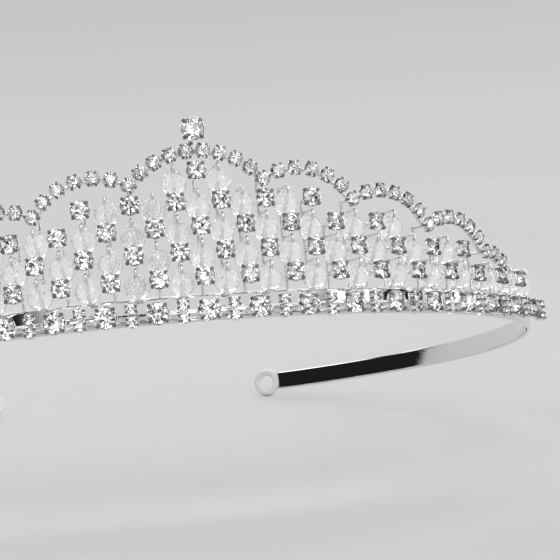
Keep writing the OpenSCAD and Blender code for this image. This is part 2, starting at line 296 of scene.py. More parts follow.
def stone_places(node):
    """Angle, radius, height and diameter of each stone in a node, from left to right."""
    stones = settings("stones")
    found = []
    for points in islands(node):
        mid = points.mean(0)
        angle = math.atan2(mid[0], -mid[1])
        out = points[:, 0] * math.sin(angle) - points[:, 1] * math.cos(angle)
        d = float(np.ptp(points[:, 2]))
        crown_top = float(out.max())
        height = float(points[:, 2].max() + points[:, 2].min()) / 2
        found.append(
            (angle, crown_top - (stones.crown + stones.girdle) * d, height, d)
        )
    return sorted(found)


def bead_places(row):
    """Angle, radius, height and diameter of each bead in a row, from left to right."""
    found = []
    for points in islands(f"beads_{row}"):
        low, high = points.min(0), points.max(0)
        mid = (low + high) / 2
        angle = math.atan2(mid[0], -mid[1])
        found.append(
            (angle, math.hypot(mid[0], mid[1]), float(mid[2]), float(high[2] - low[2]))
        )
    return sorted(found)


# ---------------------------------------------------------------- mesh making


class Shape:
    """Collects faces of one piece and turns them into an object."""

    def __init__(self):
        self.points, self.faces, self.slots, self.smooth = [], [], [], []

    def add(self, part, matrix=None, smooth=False, slot=0):
        """Adds points and faces, and slots where a part's faces don't all have the same one."""
        points, faces = part[:2]
        slots = part[2] if len(part) > 2 else [slot] * len(faces)
        start = len(self.points)
        if matrix is not None:
            points = [matrix @ Vector(p) for p in points]
        self.points += [tuple(p) for p in points]
        self.faces += [tuple(start + i for i in f) for f in faces]
        self.slots += slots
        self.smooth += [smooth] * len(faces)

    def build(self, name, materials, slot_name, node):
        mesh = bpy.data.meshes.new(name)
        mesh.from_pydata(self.points, [], self.faces)
        for m in materials:
            mesh.materials.append(m)
        mesh.polygons.foreach_set("material_index", self.slots)
        mesh.polygons.foreach_set("use_smooth", self.smooth)
        mesh.transform(band_matrix())
        mesh.validate()
        mesh.update()
        piece = bpy.data.objects.new(name, mesh)
        bpy.context.scene.collection.objects.link(piece)
        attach(piece, "root")
        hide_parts(node)
        return piece


def ring_faces(n, rings, closed=False):
    """Quads between rings of n points, wound so that they look outwards."""
    faces = []
    last = rings if closed else rings - 1
    for j in range(last):
        a, b = j * n, (j + 1) % rings * n
        faces += [(a + i, a + (i + 1) % n, b + (i + 1) % n, b + i) for i in range(n)]
    return faces


def lathe(profile, n, closed=False):
    """Turns (radius, height) points about z. A point on the axis closes the surface."""
    points, rings = [], []
    for r, z in profile:
        if r < 1e-9:
            rings.append([len(points)])
            points.append((0, 0, z))
        else:
            rings.append(list(range(len(points), len(points) + n)))
            for i in range(n):
                a = math.tau * i / n
                points.append((r * math.cos(a), r * math.sin(a), z))
    faces = []
    steps = list(zip(rings, rings[1:] + rings[:1] if closed else rings[1:]))
    for low, high in steps:
        for i in range(n):
            k = (i + 1) % n
            if len(low) == 1 and len(high) == 1:
                continue
            if len(low) == 1:
                faces.append((low[0], high[k], high[i]))
            elif len(high) == 1:
                faces.append((low[i], low[k], high[0]))
            else:
                faces.append((low[i], low[k], high[k], high[i]))
    return points, faces


def frames_along(path, up):
    """Sideways and upward vectors at each point of a path, with the upward one kept near up."""
    out = []
    for i, p in enumerate(path):
        before, after = path[max(i - 1, 0)], path[min(i + 1, len(path) - 1)]
        along = (after - before).normalized()
        side = along.cross(up[i] if isinstance(up, list) else up).normalized()
        out.append((side, side.cross(along)))
    return out


def tube(path, radius, n=10, up=Vector((1, 0, 0)), dome=0.0):
    """A round wire along a path, with its two ends rounded off by dome times its radius."""
    path = [Vector(p) for p in path]
    places = frames_along(path, up)
    stations = [(p, 1.0, f) for p, f in zip(path, places)]
    if dome:
        first = (path[0] - path[1]).normalized() * radius * dome
        final = (path[-1] - path[-2]).normalized() * radius * dome
        caps = ((0.55, 0.83), (0.9, 0.45))
        for push, shrink in caps:
            stations.insert(0, (path[0] + first * push, shrink, places[0]))
            stations.append((path[-1] + final * push, shrink, places[-1]))
    points = []
    for p, share, (side, over) in stations:
        for i in range(n):
            a = math.tau * i / n
            points.append(
                p + (side * math.cos(a) + over * math.sin(a)) * radius * share
            )
    faces = ring_faces(n, len(stations))
    faces.append(tuple(range(n - 1, -1, -1)))
    faces.append(tuple(range(len(points) - n, len(points))))
    return points, faces


def brilliant(d):
    """A round brilliant that looks along z: eight-sided table, star, kite and girdle facets
    over a foil-backed pavilion of mains and halves. The girdle's lower edge is at z = 0."""
    s = settings("stones")
    r, hc, g, hp = d / 2, s.crown * d, s.girdle * d, s.pavilion * d
    mid, low = 0.80, 0.30
    turn = math.pi / 8

    def ring(radius, z, start, n=8):
        return [
            (
                radius * math.cos(start + math.tau * i / n),
                radius * math.sin(start + math.tau * i / n),
                z,
            )
            for i in range(n)
        ]

    z_mid = g + hc * (1 - mid * math.cos(turn)) / (1 - s.table)
    z_low = -hp * (1 - low * math.cos(turn))
    points = (
        ring(r * s.table, g + hc, 0)
        + ring(r * mid, z_mid, turn)
        + ring(r, g, 0, 16)
        + ring(r, 0, 0, 16)
        + ring(r * low, z_low, turn)
        + [(0, 0, -hp)]
    )
    T, M, G, H, P, C = 0, 8, 16, 32, 48, 56
    faces, slots = [tuple(range(8))], [GLASS]
    for i in range(8):
        k, b = (i + 1) % 8, (i - 1) % 8
        crown = [
            (T + i, M + i, T + k),
            (T + i, M + b, G + 2 * i, M + i),
            (M + i, G + 2 * i, G + 2 * i + 1),
            (M + i, G + 2 * i + 1, G + (2 * i + 2) % 16),
        ]
        back = [
            (C, P + i, H + 2 * i, P + b),
            (P + i, H + 2 * i + 1, H + 2 * i),
            (P + i, H + (2 * i + 2) % 16, H + 2 * i + 1),
        ]
        faces += crown + back
        slots += [GLASS] * len(crown) + [FOIL] * len(back)
    for i in range(16):
        k = (i + 1) % 16
        faces.append((H + i, H + k, G + k, G + i))
        slots.append(GLASS)
    return points, faces, slots


def cup_depth(d):
    return settings("stones").pavilion * d + CUP_FLOOR


def cup(d):
    """An open cup under a stone: a conical wall with a rolled rim and a drilled back."""
    s = settings("stones")
    r = d / 2
    rim, inner = r + s.cup_wall, r + s.seat
    depth = cup_depth(d)
    hole = 0.00018
    return lathe(
        [
            (hole, -depth + 0.00006),
            (hole + 0.00004, -depth),
            (0.00035, -depth),
            (0.00039, -depth + 0.00003),
            (rim - 0.00003, -0.00034),
            (rim, -0.00028),
            (rim, -0.00003),
            (rim - 0.00003, 0),
            (inner + 0.00003, 0),
            (inner, -0.00004),
            (hole, -depth + 0.00016),
        ],
        28,
        closed=True,
    )


def claw(d, width, angle):
    """One claw: a rounded bar that stands on the cup's rim and bends over the crown."""
    s = settings("stones")
    r, thick = d / 2, width * 0.72
    slope = s.crown * d / ((1 - s.table) * r)
    foot = r + s.cup_wall * 0.5
    knee = s.girdle * d + 0.5 * thick + 0.00002
    reach = r - 0.13 * d
    path = [
        (foot - 0.00006, -0.00062),
        (foot + 0.00002, -0.00034),
        (foot + thick * 0.42, -0.0001),
        (foot + thick * 0.42, knee * 0.5),
        (foot + thick * 0.2, knee + thick * 0.25),
        (r - 0.04 * d, knee + slope * 0.04 * d + thick * 0.12),
        (reach + 0.03 * d, knee + slope * 0.10 * d),
        (reach, knee + slope * 0.12 * d - thick * 0.1),
    ]
    sizes = [0.75, 0.95, 1.0, 1.05, 1.1, 1.05, 0.85, 0.4]
    n = 8
    points = []
    for i, ((x, z), size) in enumerate(zip(path, sizes)):
        ax, az = path[max(i - 1, 0)]
        bx, bz = path[min(i + 1, len(path) - 1)]
        along = Vector((bx - ax, 0, bz - az)).normalized()
        over = Vector((0, 1, 0)).cross(along)
        for j in range(n):
            a = math.tau * (j + 0.5) / n
            flat = thick / 2 * size * math.sin(a) * 1.12
            wide = width / 2 * size * math.cos(a) * 1.12
            points.append(Vector((x, 0, z)) + over * flat + Vector((0, wide, 0)))
    faces = ring_faces(n, len(path))
    faces.append(tuple(range(n - 1, -1, -1)))
    faces.append(tuple(range(len(points) - n, len(points))))
    turn = Matrix.Rotation(angle, 4, "Z")
    return [turn @ p for p in points], faces


def faceted_bead(d, bore, columns):
    """A round bead cut in rows of long facets about its hole, which runs along z."""
    r = d / 2
    rim = math.asin(bore / d)
    rows = [rim] + [math.radians(a) for a in (26, 44, 60, 75, 90)]
    rows += [math.pi - a for a in reversed(rows[:-1])]
    points = []
    for j, a in enumerate(rows):
        shift = 0.5 * (j % 2)
        for i in range(columns):
            t = math.tau * (i + shift) / columns
            points.append(
                (r * math.sin(a) * math.cos(t), r * math.sin(a) * math.sin(t), r * math.cos(a))
            )
    faces = []
    n = columns
    for j in range(len(rows) - 1):
        a, b = j * n, (j + 1) * n
        shifted = j % 2
        for i in range(n):
            k = (i + 1) % n
            if shifted:
                faces += [(a + i, b + i, b + k), (a + i, b + k, a + k)]
            else:
                faces += [(a + i, b + i, a + k), (a + k, b + i, b + k)]
    top, low = 0, (len(rows) - 1) * n
    hole = r * math.cos(rim) - 0.0001
    wall = len(points)
    for z in (hole, -hole):
        for i in range(n):
            t = math.tau * i / n
            points.append((bore / 2 * 0.9 * math.cos(t), bore / 2 * 0.9 * math.sin(t), z))
    for i in range(n):
        k = (i + 1) % n
        faces.append((top + i, top + k, wall + k, wall + i))
        faces.append((wall + i, wall + k, wall + n + k, wall + n + i))
        faces.append((wall + n + i, wall + n + k, low + k, low + i))
    return points, faces


# ---------------------------------------------------------------- finishes


def surface_marks():
    """A shared effect: soft blotches and fine hairlines, as a height, a roughness and a tone."""
    name = "Handling Marks"
    if name in bpy.data.node_groups:
        return bpy.data.node_groups[name]
    g = bpy.data.node_groups.new(name, "ShaderNodeTree")
    for label, value in (
        ("Blotch Scale", 400.0),
        ("Line Scale", 2500.0),
        ("Rough Low", 0.05),
        ("Rough High", 0.15),
        ("Line Share", 0.3),
    ):
        sock = g.interface.new_socket(label, in_out="INPUT", socket_type="NodeSocketFloat")
        sock.default_value = value
    for label in ("Roughness", "Height", "Tone"):
        g.interface.new_socket(label, in_out="OUTPUT", socket_type="NodeSocketFloat")
    nodes, links = g.nodes, g.links
    enter, leave = nodes.new("NodeGroupInput"), nodes.new("NodeGroupOutput")
    where = nodes.new("ShaderNodeTexCoord")
    blotch, line = nodes.new("ShaderNodeTexNoise"), nodes.new("ShaderNodeTexNoise")
    blotch.inputs["Detail"].default_value = 4
    line.inputs["Detail"].default_value = 2
    line.inputs["Distortion"].default_value = 0.6
    stretch = nodes.new("ShaderNodeMapping")
    stretch.inputs["Scale"].default_value = (1.0, 1.0, 9.0)
    rough = nodes.new("ShaderNodeMapRange")
    blend = nodes.new("ShaderNodeMix")
    links.new(where.outputs["Object"], blotch.inputs["Vector"])
    links.new(where.outputs["Object"], stretch.inputs["Vector"])
    links.new(stretch.outputs["Vector"], line.inputs["Vector"])
    links.new(enter.outputs["Blotch Scale"], blotch.inputs["Scale"])
    links.new(enter.outputs["Line Scale"], line.inputs["Scale"])
    links.new(enter.outputs["Line Share"], blend.inputs["Factor"])
    links.new(blotch.outputs["Fac"], blend.inputs["A"])
    links.new(line.outputs["Fac"], blend.inputs["B"])
    links.new(blend.outputs["Result"], rough.inputs["Value"])
    rough.inputs["From Min"].default_value = 0.35
    rough.inputs["From Max"].default_value = 0.65
    links.new(enter.outputs["Rough Low"], rough.inputs["To Min"])
    links.new(enter.outputs["Rough High"], rough.inputs["To Max"])
    links.new(rough.outputs["Result"], leave.inputs["Roughness"])
    links.new(blend.outputs["Result"], leave.inputs["Height"])
    links.new(blotch.outputs["Fac"], leave.inputs["Tone"])
    return g


def finish_material(
    name, colour, shade, metallic, rough, scales, bump, transmission=0.0, ior=1.45, painted_glow=0.0
):
    """A material whose colour, roughness and relief all come from the shared marks."""
    if name in bpy.data.materials:
        return bpy.data.materials[name]
    m = bpy.data.materials.new(name)
    m.use_nodes = True
    nodes, links = m.node_tree.nodes, m.node_tree.links
    shader = nodes["Principled BSDF"]
    marks = nodes.new("ShaderNodeGroup")
    marks.node_tree = surface_marks()
    marks.inputs["Blotch Scale"].default_value = scales[0]
    marks.inputs["Line Scale"].default_value = scales[1]
    marks.inputs["Line Share"].default_value = scales[2]
    marks.inputs["Rough Low"].default_value = rough[0]
    marks.inputs["Rough High"].default_value = rough[1]
    tint = nodes.new("ShaderNodeMix")
    tint.data_type = "RGBA"
    tint.inputs["A"].default_value = (*[c * shade for c in colour], 1)
    tint.inputs["B"].default_value = (*colour, 1)
    relief = nodes.new("ShaderNodeBump")
    relief.inputs["Strength"].default_value = bump[0]
    relief.inputs["Distance"].default_value = bump[1]
    links.new(marks.outputs["Tone"], tint.inputs["Factor"])
    links.new(tint.outputs["Result"], shader.inputs["Base Color"])
    links.new(marks.outputs["Roughness"], shader.inputs["Roughness"])
    links.new(marks.outputs["Height"], relief.inputs["Height"])
    links.new(relief.outputs["Normal"], shader.inputs["Normal"])
    shader.inputs["Metallic"].default_value = metallic
    shader.inputs["Transmission Weight"].default_value = transmission
    shader.inputs["IOR"].default_value = ior
    # Emission is painted light: a glow on a part that is no lamp
    shader.inputs["Emission Strength"].default_value = painted_glow
    return m


def polished_strip():
    f = settings("finish")
    return finish_material(
        "Polished strip", f.strip_colour, 0.9, 1.0, (0.01, 0.035), (60, 900, 0.3), (0.04, 0.0001)
    )


def bright_wire():
    f = settings("finish")
    return finish_material(
        "Bright wire", f.wire_colour, 0.85, 1.0, (0.02, 0.08), (900, 5000, 0.4), (0.2, 0.00004)
    )


def claw_metal():
    f = settings("finish")
    # Painted shade: the claws' bright metal takes the darkened claw colour so that claws look dark
    return finish_material(
        "Claw metal", f.claw_colour, 0.8, 1.0, (0.02, 0.08), (1100, 6000, 0.4), (0.25, 0.00004)
    )


def loop_metal():
    f = settings("finish")
    return finish_material(
        "Loop wire", f.loop_colour, 0.95, 0.0, (0.22, 0.36), (700, 3500, 0.5), (0.1, 0.00004)
    )


def stone_glass():
    f = settings("finish")
    return finish_material(
        "Cut stone", f.stone_colour, 0.97, 0.0, (0.0, 0.012), (500, 4000, 0.3),
        (0.02, 0.00001), 1.0, settings("stones").ior,
    )


def stone_foil():
    f = settings("finish")
    return finish_material(
        "Stone foil", f.foil_colour, 0.93, 1.0, (0.01, 0.04), (700, 5000, 0.3), (0.03, 0.00001)
    )


def bead_glass():
    f = settings("finish")
    # Painted light: the beads glow faintly, which lifts them brighter than the backdrop though
    # they are no lamp
    return finish_material(
        "Bead glass", f.bead_colour, 0.99, 0.0, (0.0, 0.02), (600, 3000, 0.4),
        (0.05, 0.00002), 0.88, settings("beads").ior, 0.045,
    )


def cup_metal():
    f = settings("finish")
    return finish_material(
        "Cup metal", f.cup_colour, 0.92, 1.0, (0.05, 0.14), (1100, 6000, 0.4), (0.15, 0.00003)
    )


# ---------------------------------------------------------------- pieces


def strip_path(side):
    """Points along the middle of the strip and the way outwards at each, from the middle of the
    front to one end."""
    band = settings("band")
    front = Vector((0, 0, band.rise))
    half, end = band.front_half_angle, band.end_angle
    reach = band.loop_bore + 1.5 * band.loop_wire
    stop = end - math.asin(reach / band.side_radius)
    out = []
    for i in range(101):
        a = half * i / 100
        out.append((front, band.front_radius, a))
    for i in range(1, 141):
        a = half + (stop - half) * i / 140
        out.append((arm_centre(side) + front, band.side_radius, a))
    ways = [Vector((side * math.sin(a), -math.cos(a), 0)) for _, _, a in out]
    return [(c + r * way, way) for (c, r, _), way in zip(out, ways)]


def build_headband():
    band = settings("band")
    left, right = strip_path(-1), strip_path(1)
    path = list(reversed(left))[:-1] + right
    h, t = band.width / 2, band.thickness / 2
    edge = t * 0.8
    section = []
    for start, sx, sz in ((0, 1, 1), (90, -1, 1), (180, -1, -1), (270, 1, -1)):
        for i in range(6):
            a = math.radians(start + 90 * i / 5)
            section.append(
                (sx * (t - edge) + edge * math.cos(a), sz * (h - edge) + edge * math.sin(a))
            )
        if start in (90, 270):
            # Two points hold each broad face flat between its rounded edges
            section += [(sx * t, sz * (h - edge - t / 4)), (sx * t, -sz * (h - edge - t / 4))]
    n = len(section)
    points = []
    for p, out in path:
        for x, z in section:
            points.append(p + out * x + Vector((0, 0, z)))
    faces = ring_faces(n, len(path))
    faces = [tuple(reversed(f)) for f in faces]
    faces.append(tuple(range(n)))
    faces.append(tuple(range(len(points) - 1, len(points) - n - 1, -1)))
    shape = Shape()
    shape.add((points, faces), smooth=True)
    shape.smooth[-2:] = [False, False]
    return shape.build("polished_headband", [polished_strip()], "polished_strip", "headband")


def build_end_loop(side, node):
    band = settings("band")
    mid, wire = band.loop_bore + band.loop_wire, band.loop_wire
    profile = []
    for i in range(28):
        a = math.tau * i / 28
        x = mid + wire * math.cos(a)
        profile.append((max(x, band.loop_bore), wire * math.sin(a)))
    place = Matrix.Translation(end_place(side)) @ Matrix.Rotation(side * band.end_angle, 4, "Z")
    place = place @ Matrix.Rotation(math.pi / 2, 4, "X")
    shape = Shape()
    shape.add(lathe(profile, 72, closed=True), place, smooth=True)
    return shape.build(node.replace("end_loop", "wire_loop"), [loop_metal()], "loop_wire", node)


def build_stones(node, name, seed, share=0.985):
    s = settings("stones")
    rng = random.Random(seed)
    shape = Shape()
    for i, (angle, radius, height, d) in enumerate(stone_places(node)):
        turn = rng.uniform(-s.turn, s.turn)
        tip = Matrix.Rotation(rng.uniform(-s.tip, s.tip), 4, "X")
        tip = tip @ Matrix.Rotation(rng.uniform(-s.tip, s.tip), 4, "Y")
        place = spoke(angle, radius, height) @ tip @ Matrix.Rotation(turn, 4, "Z")
        shape.add(brilliant(d * share), place)
    return shape.build(name, [stone_glass(), stone_foil()], "cut_stone", node)


def chain_slopes(scallop):
    """The slope of the chain at each of its stones, from its neighbours along the scallop."""
    places = stone_places(f"chain_stones_{scallop}")
    left = [p for p in places if p[0] < 0]
    runs = [places] if scallop == "middle" else [left, [p for p in places if p[0] >= 0]]
    slopes = {}
    for run in runs:
        for i, p in enumerate(run):
            a, b = run[max(i - 1, 0)], run[min(i + 1, len(run) - 1)]
            if a is not b:
                slopes[p] = math.atan2(b[2] - a[2], (b[0] - a[0]) * p[1])
    return slopes


def build_settings(stone_node, node, name, width, angles, slopes=None, stem=None):
    """Cups and claws around every stone of a node, with a stem behind each one."""
    shape = Shape()
    for place_of in stone_places(stone_node):
        angle, radius, height, d = place_of
        place = spoke(angle, radius, height)
        slope = slopes.get(place_of, 0) if slopes else 0
        place = place @ Matrix.Rotation(slope, 4, "Z")
        shape.add(cup(d), place, smooth=True, slot=CUP)
        for a in angles:
            shape.add(claw(d, width, math.radians(a)), place, smooth=True, slot=CLAW)
        if stem:
            depth = cup_depth(d)
            wire, inner = stem
            length = radius - depth - inner
            path = [(0, 0, -depth + 0.00004), (0, 0, -depth - length)]
            shape.add(tube(path, wire / 2, 14), place, smooth=True, slot=CUP)
    return shape, name, node


def claw_piece(shape, name, node):
    return shape.build(name, [claw_metal(), cup_metal()], "claw_metal", node)


def build_pair_bars(shape):
    """The short upright bar behind each pair of small cups, with its stem to the rail."""
    columns = {}
    for place_of in stone_places("pair_stones"):
        columns.setdefault(round(place_of[0], 3), []).append(place_of)
    big = stone_places("base_stones")[0][3]
    for (angle, radius, low, d), (_, _, high, _) in columns.values():
        half = abs(low - high) / 2 + BAR_T
        behind = Matrix.Translation((0, 0, -cup_depth(d) - BAR_T / 2))
        place = spoke(angle, radius, 0) @ behind
        outline = []
        for i in range(16):
            a = math.tau * i / 16
            end = 1 if math.sin(a) >= 0 else -1
            outline.append((BAR_W / 2 * math.cos(a), end * half + BAR_W / 2 * math.sin(a)))
        points = [(x, y, z) for z in (-BAR_T / 2, BAR_T / 2) for x, y in outline]
        n = len(outline)
        faces = ring_faces(n, 2) + [tuple(range(n - 1, -1, -1)), tuple(range(n, 2 * n))]
        shape.add((points, faces), place, slot=CUP)
        stem = cup_depth(big) - cup_depth(d) - BAR_T
        path = [(0, 0, -BAR_T / 4), (0, 0, -BAR_T / 2 - stem)]
        shape.add(tube(path, POST_D / 2, 14), place, smooth=True, slot=CUP)


def build_beads(row, seed):
    b = settings("beads")
    rng = random.Random(seed)
    shape = Shape()
    for angle, radius, height, d in bead_places(row):
        place = Matrix.Rotation(angle, 4, "Z") @ Matrix.Translation((0, -radius, height))
        place = place @ Matrix.Rotation(b.lean, 4, "X")
        turn = Matrix.Rotation(rng.uniform(0, math.tau), 4, "Z")
        shape.add(faceted_bead(d, b.bore, b.columns), place @ turn)
    return shape.build(f"faceted_beads_{row}", [bead_glass()], "glass_bead", f"beads_{row}")


def hook_path(d, radius):
    """The middle line of a bead's wire in the bead's upright plane, from head to upright."""
    b = settings("beads")
    up = Vector((0, -math.sin(b.lean), math.cos(b.lean)))
    start = up * (d / 2 + b.clear)
    back = Vector((0, math.cos(b.lean), math.sin(b.lean)))
    centre = start + back * b.bend
    path = [up * (-d / 2 - 0.00002), up * 0, start * 0.6, start]
    for i in range(1, 13):
        a = -b.lean + (math.pi / 2 + b.lean) * i / 12
        path.append(centre + b.bend * Vector((0, -math.cos(a), math.sin(a))))
    end = radius - settings("band").front_radius - b.upright / 2 + 0.0001
    path.append(Vector((0, end, path[-1].z)))
    return path


def build_hooks(row):
    b = settings("beads")
    shape = Shape()
    head = [
        (0, -0.00025), (0.0004, -0.00025), (0.00051, -0.0002), (0.00055, -0.00012),
        (0.00052, -0.00004), (0.00044, 0), (0, 0),
    ]
    for angle, radius, height, d in bead_places(row):
        place = Matrix.Rotation(angle, 4, "Z") @ Matrix.Translation((0, -radius, height))
        shape.add(tube(hook_path(d, radius), b.wire / 2, 12), place, smooth=True)
        tilt = place @ Matrix.Rotation(b.lean, 4, "X")
        under = tilt @ Matrix.Translation((0, 0, -d / 2))
        shape.add(lathe(head, 20), under, smooth=True)
    return shape.build(f"bead_wires_{row}", [bright_wire()], "bright_wire", f"hooks_{row}")


def build_scallop_wire(scallop):
    """The wire behind a scallop, through the places behind its stones."""
    b = settings("beads")
    order = SCALLOPS.index(scallop)
    shape = Shape()
    for side in (1,) if order == 0 else (-1, 1):
        run = stone_places(f"chain_stones_{scallop}")
        if order:
            run = [p for p in run if p[0] * side > 0]
        run.sort(key=lambda p: abs(p[0]) if order else p[0])
        if order:
            before = stone_places(f"chain_stones_{SCALLOPS[order - 1]}")
            before = [p for p in before if p[0] * side > 0]
            run.insert(0, max(before, key=lambda p: abs(p[0])))
        path, ups = [], []
        for angle, radius, height, d in run:
            r = radius - cup_depth(d) - b.scallop_wire / 2
            path.append(Vector((r * math.sin(angle), -r * math.cos(angle), height)))
            ups.append(Vector((math.sin(angle), -math.cos(angle), 0)))
        smooth, smooth_ups = [], []
        for i in range(len(path) - 1):
            p0, p1 = path[max(i - 1, 0)], path[i]
            p2, p3 = path[i + 1], path[min(i + 2, len(path) - 1)]
            for j in range(4):
                t = j / 4
                smooth.append(
                    0.5 * (2 * p1 + (p2 - p0) * t + (2 * p0 - 5 * p1 + 4 * p2 - p3) * t * t
                           + (3 * p1 - p0 - 3 * p2 + p3) * t ** 3)
                )
                smooth_ups.append(ups[i].lerp(ups[i + 1], t))
        smooth.append(path[-1])
        smooth_ups.append(ups[-1])
        shape.add(tube(smooth, b.scallop_wire / 2, 12, smooth_ups, dome=0.8), smooth=True)
    return shape.build(
        f"scallop_support_{scallop}", [bright_wire()], "bright_wire", f"scallop_wire_{scallop}"
    )


# ---------------------------------------------------------------- stage


def studio_world(stage):
    """A pale backdrop for the camera, and a studio of soft boxes and dark sides for the rest."""
    world = bpy.data.worlds.new("Studio")
    world.use_nodes = True
    nodes, links = world.node_tree.nodes, world.node_tree.links
    nodes.clear()
    where = nodes.new("ShaderNodeTexCoord")
    split = nodes.new("ShaderNodeSeparateXYZ")
    links.new(where.outputs["Generated"], split.inputs["Vector"])

    def ranged(source, low, high, to_low=0.0, to_high=1.0):
        n = nodes.new("ShaderNodeMapRange")
        n.interpolation_type = "SMOOTHSTEP"
        links.new(source, n.inputs["Value"])
        ends = {"From Min": low, "From Max": high, "To Min": to_low, "To Max": to_high}
        for key, value in ends.items():
            n.inputs[key].default_value = value
        return n.outputs["Result"]

    def maths(kind, *terms):
        n = nodes.new("ShaderNodeMath")
        n.operation = kind
        for i, term in enumerate(terms):
            if isinstance(term, (int, float)):
                n.inputs[i].default_value = term
            else:
                links.new(term, n.inputs[i])
        return n.outputs["Value"]

    x, y, z = (split.outputs[c] for c in "XYZ")
    turn = maths("ARCTAN2", x, maths("MULTIPLY", y, -1.0))
    # Around the sides: a pale backdrop, one dark quarter, and tall lamps in a slatted grey room.
    # A calm band runs round the room, and the strip's front face mirrors that.
    backdrop = ranged(y, 0.42, 0.66, 0.0, stage.backdrop)
    bars = ranged(maths("SINE", maths("MULTIPLY", turn, 9.0)), 0.0, 0.2)
    fine = ranged(maths("SINE", maths("MULTIPLY", turn, 31.0)), 0.3, 0.5)
    slats = ranged(maths("SINE", maths("ADD", maths("MULTIPLY", turn, 13.0), 0.9)), 0.05, 0.2)
    calm = maths("MULTIPLY", ranged(z, 0.26, 0.29), ranged(z, 0.42, 0.39))
    lamps = maths("MULTIPLY", maths("MULTIPLY", bars, fine), stage.lamps)
    lamps = maths("MULTIPLY", lamps, maths("SUBTRACT", 1.0, calm))
    room = maths("ADD", lamps, maths("MULTIPLY", maths("MAXIMUM", slats, calm), stage.room))
    quarter = maths("MULTIPLY", ranged(turn, -0.85, -0.6), ranged(y, 0.66, 0.42))
    around = maths("ADD", maths("MULTIPLY", room, quarter), stage.dark)
    sides = maths("MULTIPLY", maths("ADD", around, backdrop), ranged(z, 0.62, 0.5))
    # Overhead: soft boxes parted by dark beams
    steep = maths("MAXIMUM", z, 0.05)
    u, v = maths("DIVIDE", x, steep), maths("DIVIDE", y, steep)
    across = maths("ABSOLUTE", maths("SINE", maths("ADD", maths("MULTIPLY", u, 2.3), 0.6)))
    along = maths("ABSOLUTE", maths("SINE", maths("ADD", maths("MULTIPLY", v, 2.3), 0.9)))
    boxes = maths("MULTIPLY", ranged(across, 0.4, 0.5), ranged(along, 0.4, 0.5))
    ceiling = maths("MULTIPLY", maths("MULTIPLY", boxes, ranged(z, 0.45, 0.53)), stage.ceiling)
    studio, plain = nodes.new("ShaderNodeBackground"), nodes.new("ShaderNodeBackground")
    links.new(maths("ADD", sides, ceiling), studio.inputs["Color"])
    tone = ranged(z, 0.0, 0.12, stage.horizon, stage.horizon * 0.88)
    links.new(tone, plain.inputs["Color"])
    path = nodes.new("ShaderNodeLightPath")
    mix, out = nodes.new("ShaderNodeMixShader"), nodes.new("ShaderNodeOutputWorld")
    links.new(path.outputs["Is Camera Ray"], mix.inputs["Fac"])
    links.new(studio.outputs[0], mix.inputs[1])
    links.new(plain.outputs[0], mix.inputs[2])
    links.new(mix.outputs[0], out.inputs["Surface"])
    bpy.context.scene.world = world


def build_floor(stage):
    h = stage.floor_size / 2
    mesh = bpy.data.meshes.new("pale_table")
    mesh.from_pydata([(-h, -h, 0), (h, -h, 0), (h, h, 0), (-h, h, 0)], [], [(0, 1, 2, 3)])
    c = stage.floor_colour
    m = finish_material("Pale table", c, 0.985, 0.0, (0.5, 0.62), (3, 60, 0.4), (0.02, 0.0005))
    mesh.materials.append(m)
    floor = bpy.data.objects.new("pale_table", mesh)
    bpy.context.scene.collection.objects.link(floor)


def build_camera(stage):
    aim = Vector(stage.camera_aim).normalized()
    lean = settings("band").lean
    upright = Vector((0, math.sin(lean), math.cos(lean)))
    side = aim.cross(upright).normalized()
    up = side.cross(aim)
    r = stage.camera_roll
    side, up = side * math.cos(r) + up * math.sin(r), up * math.cos(r) - side * math.sin(r)
    camera = bpy.data.objects.new("camera", bpy.data.cameras.new("camera"))
    turn = Matrix((side, up, -aim)).transposed().to_4x4()
    camera.matrix_world = Matrix.Translation(stage.camera_place) @ turn
    camera.data.lens = stage.lens
    camera.data.sensor_width = 36
    camera.data.clip_start = 0.01
    camera.data.dof.use_dof = False
    bpy.context.scene.collection.objects.link(camera)
    bpy.context.scene.camera = camera


def build_light(stage):
    data = bpy.data.lights.new("soft_box", "AREA")
    data.size = 0.16
    data.energy = stage.key
    lamp = bpy.data.objects.new("soft_box", data)
    place = Vector((-0.12, 0.26, 0.34))
    lamp.location = place
    lamp.rotation_euler = (Vector((0, 0.02, 0)) - place).to_track_quat("-Z", "Y").to_euler()
    bpy.context.scene.collection.objects.link(lamp)


# ---------------------------------------------------------------- operators


class TIARA_OT_headband(bpy.types.Operator):
    """Makes the polished strip that goes round the head"""

    bl_idname = "tiara.headband"
    bl_label = "Headband"

    def execute(self, context):
        build_headband()
        return {"FINISHED"}


class TIARA_OT_end_loops(bpy.types.Operator):
    """Makes the wire loops at the ends of the band"""

    bl_idname = "tiara.end_loops"
    bl_label = "End Loops"

    def execute(self, context):
        build_end_loop(-1, "end_loop_left")
        build_end_loop(1, "end_loop_right")
        return {"FINISHED"}


class TIARA_OT_frame_wires(bpy.types.Operator):
    """Gives the rail, posts, uprights and top stem their bright wire"""

    bl_idname = "tiara.frame_wires"
    bl_label = "Frame Wires"

    def execute(self, context):
        wire = bright_wire()
        for node in KEPT_WIRES:
            mesh = frame["nodes"][node].data
            mesh.materials.clear()
            mesh.materials.append(wire)
        return {"FINISHED"}


class TIARA_OT_base_row(bpy.types.Operator):
    """Makes the lowest row: large stones and pairs of small ones, in their cups"""

    bl_idname = "tiara.base_row"
    bl_label = "Base Row"

    def execute(self, context):
        s = settings("stones")
        build_stones("base_stones", "base_brilliants", 11)
        build_stones("pair_stones", "pair_brilliants", 12)
        claw_piece(*build_settings("base_stones", "base_settings", "base_cups", s.claw, SQUARE))
        small = build_settings("pair_stones", "pair_settings", "pair_cups", s.small_claw, PAIR)
        build_pair_bars(small[0])
        claw_piece(*small)
        return {"FINISHED"}


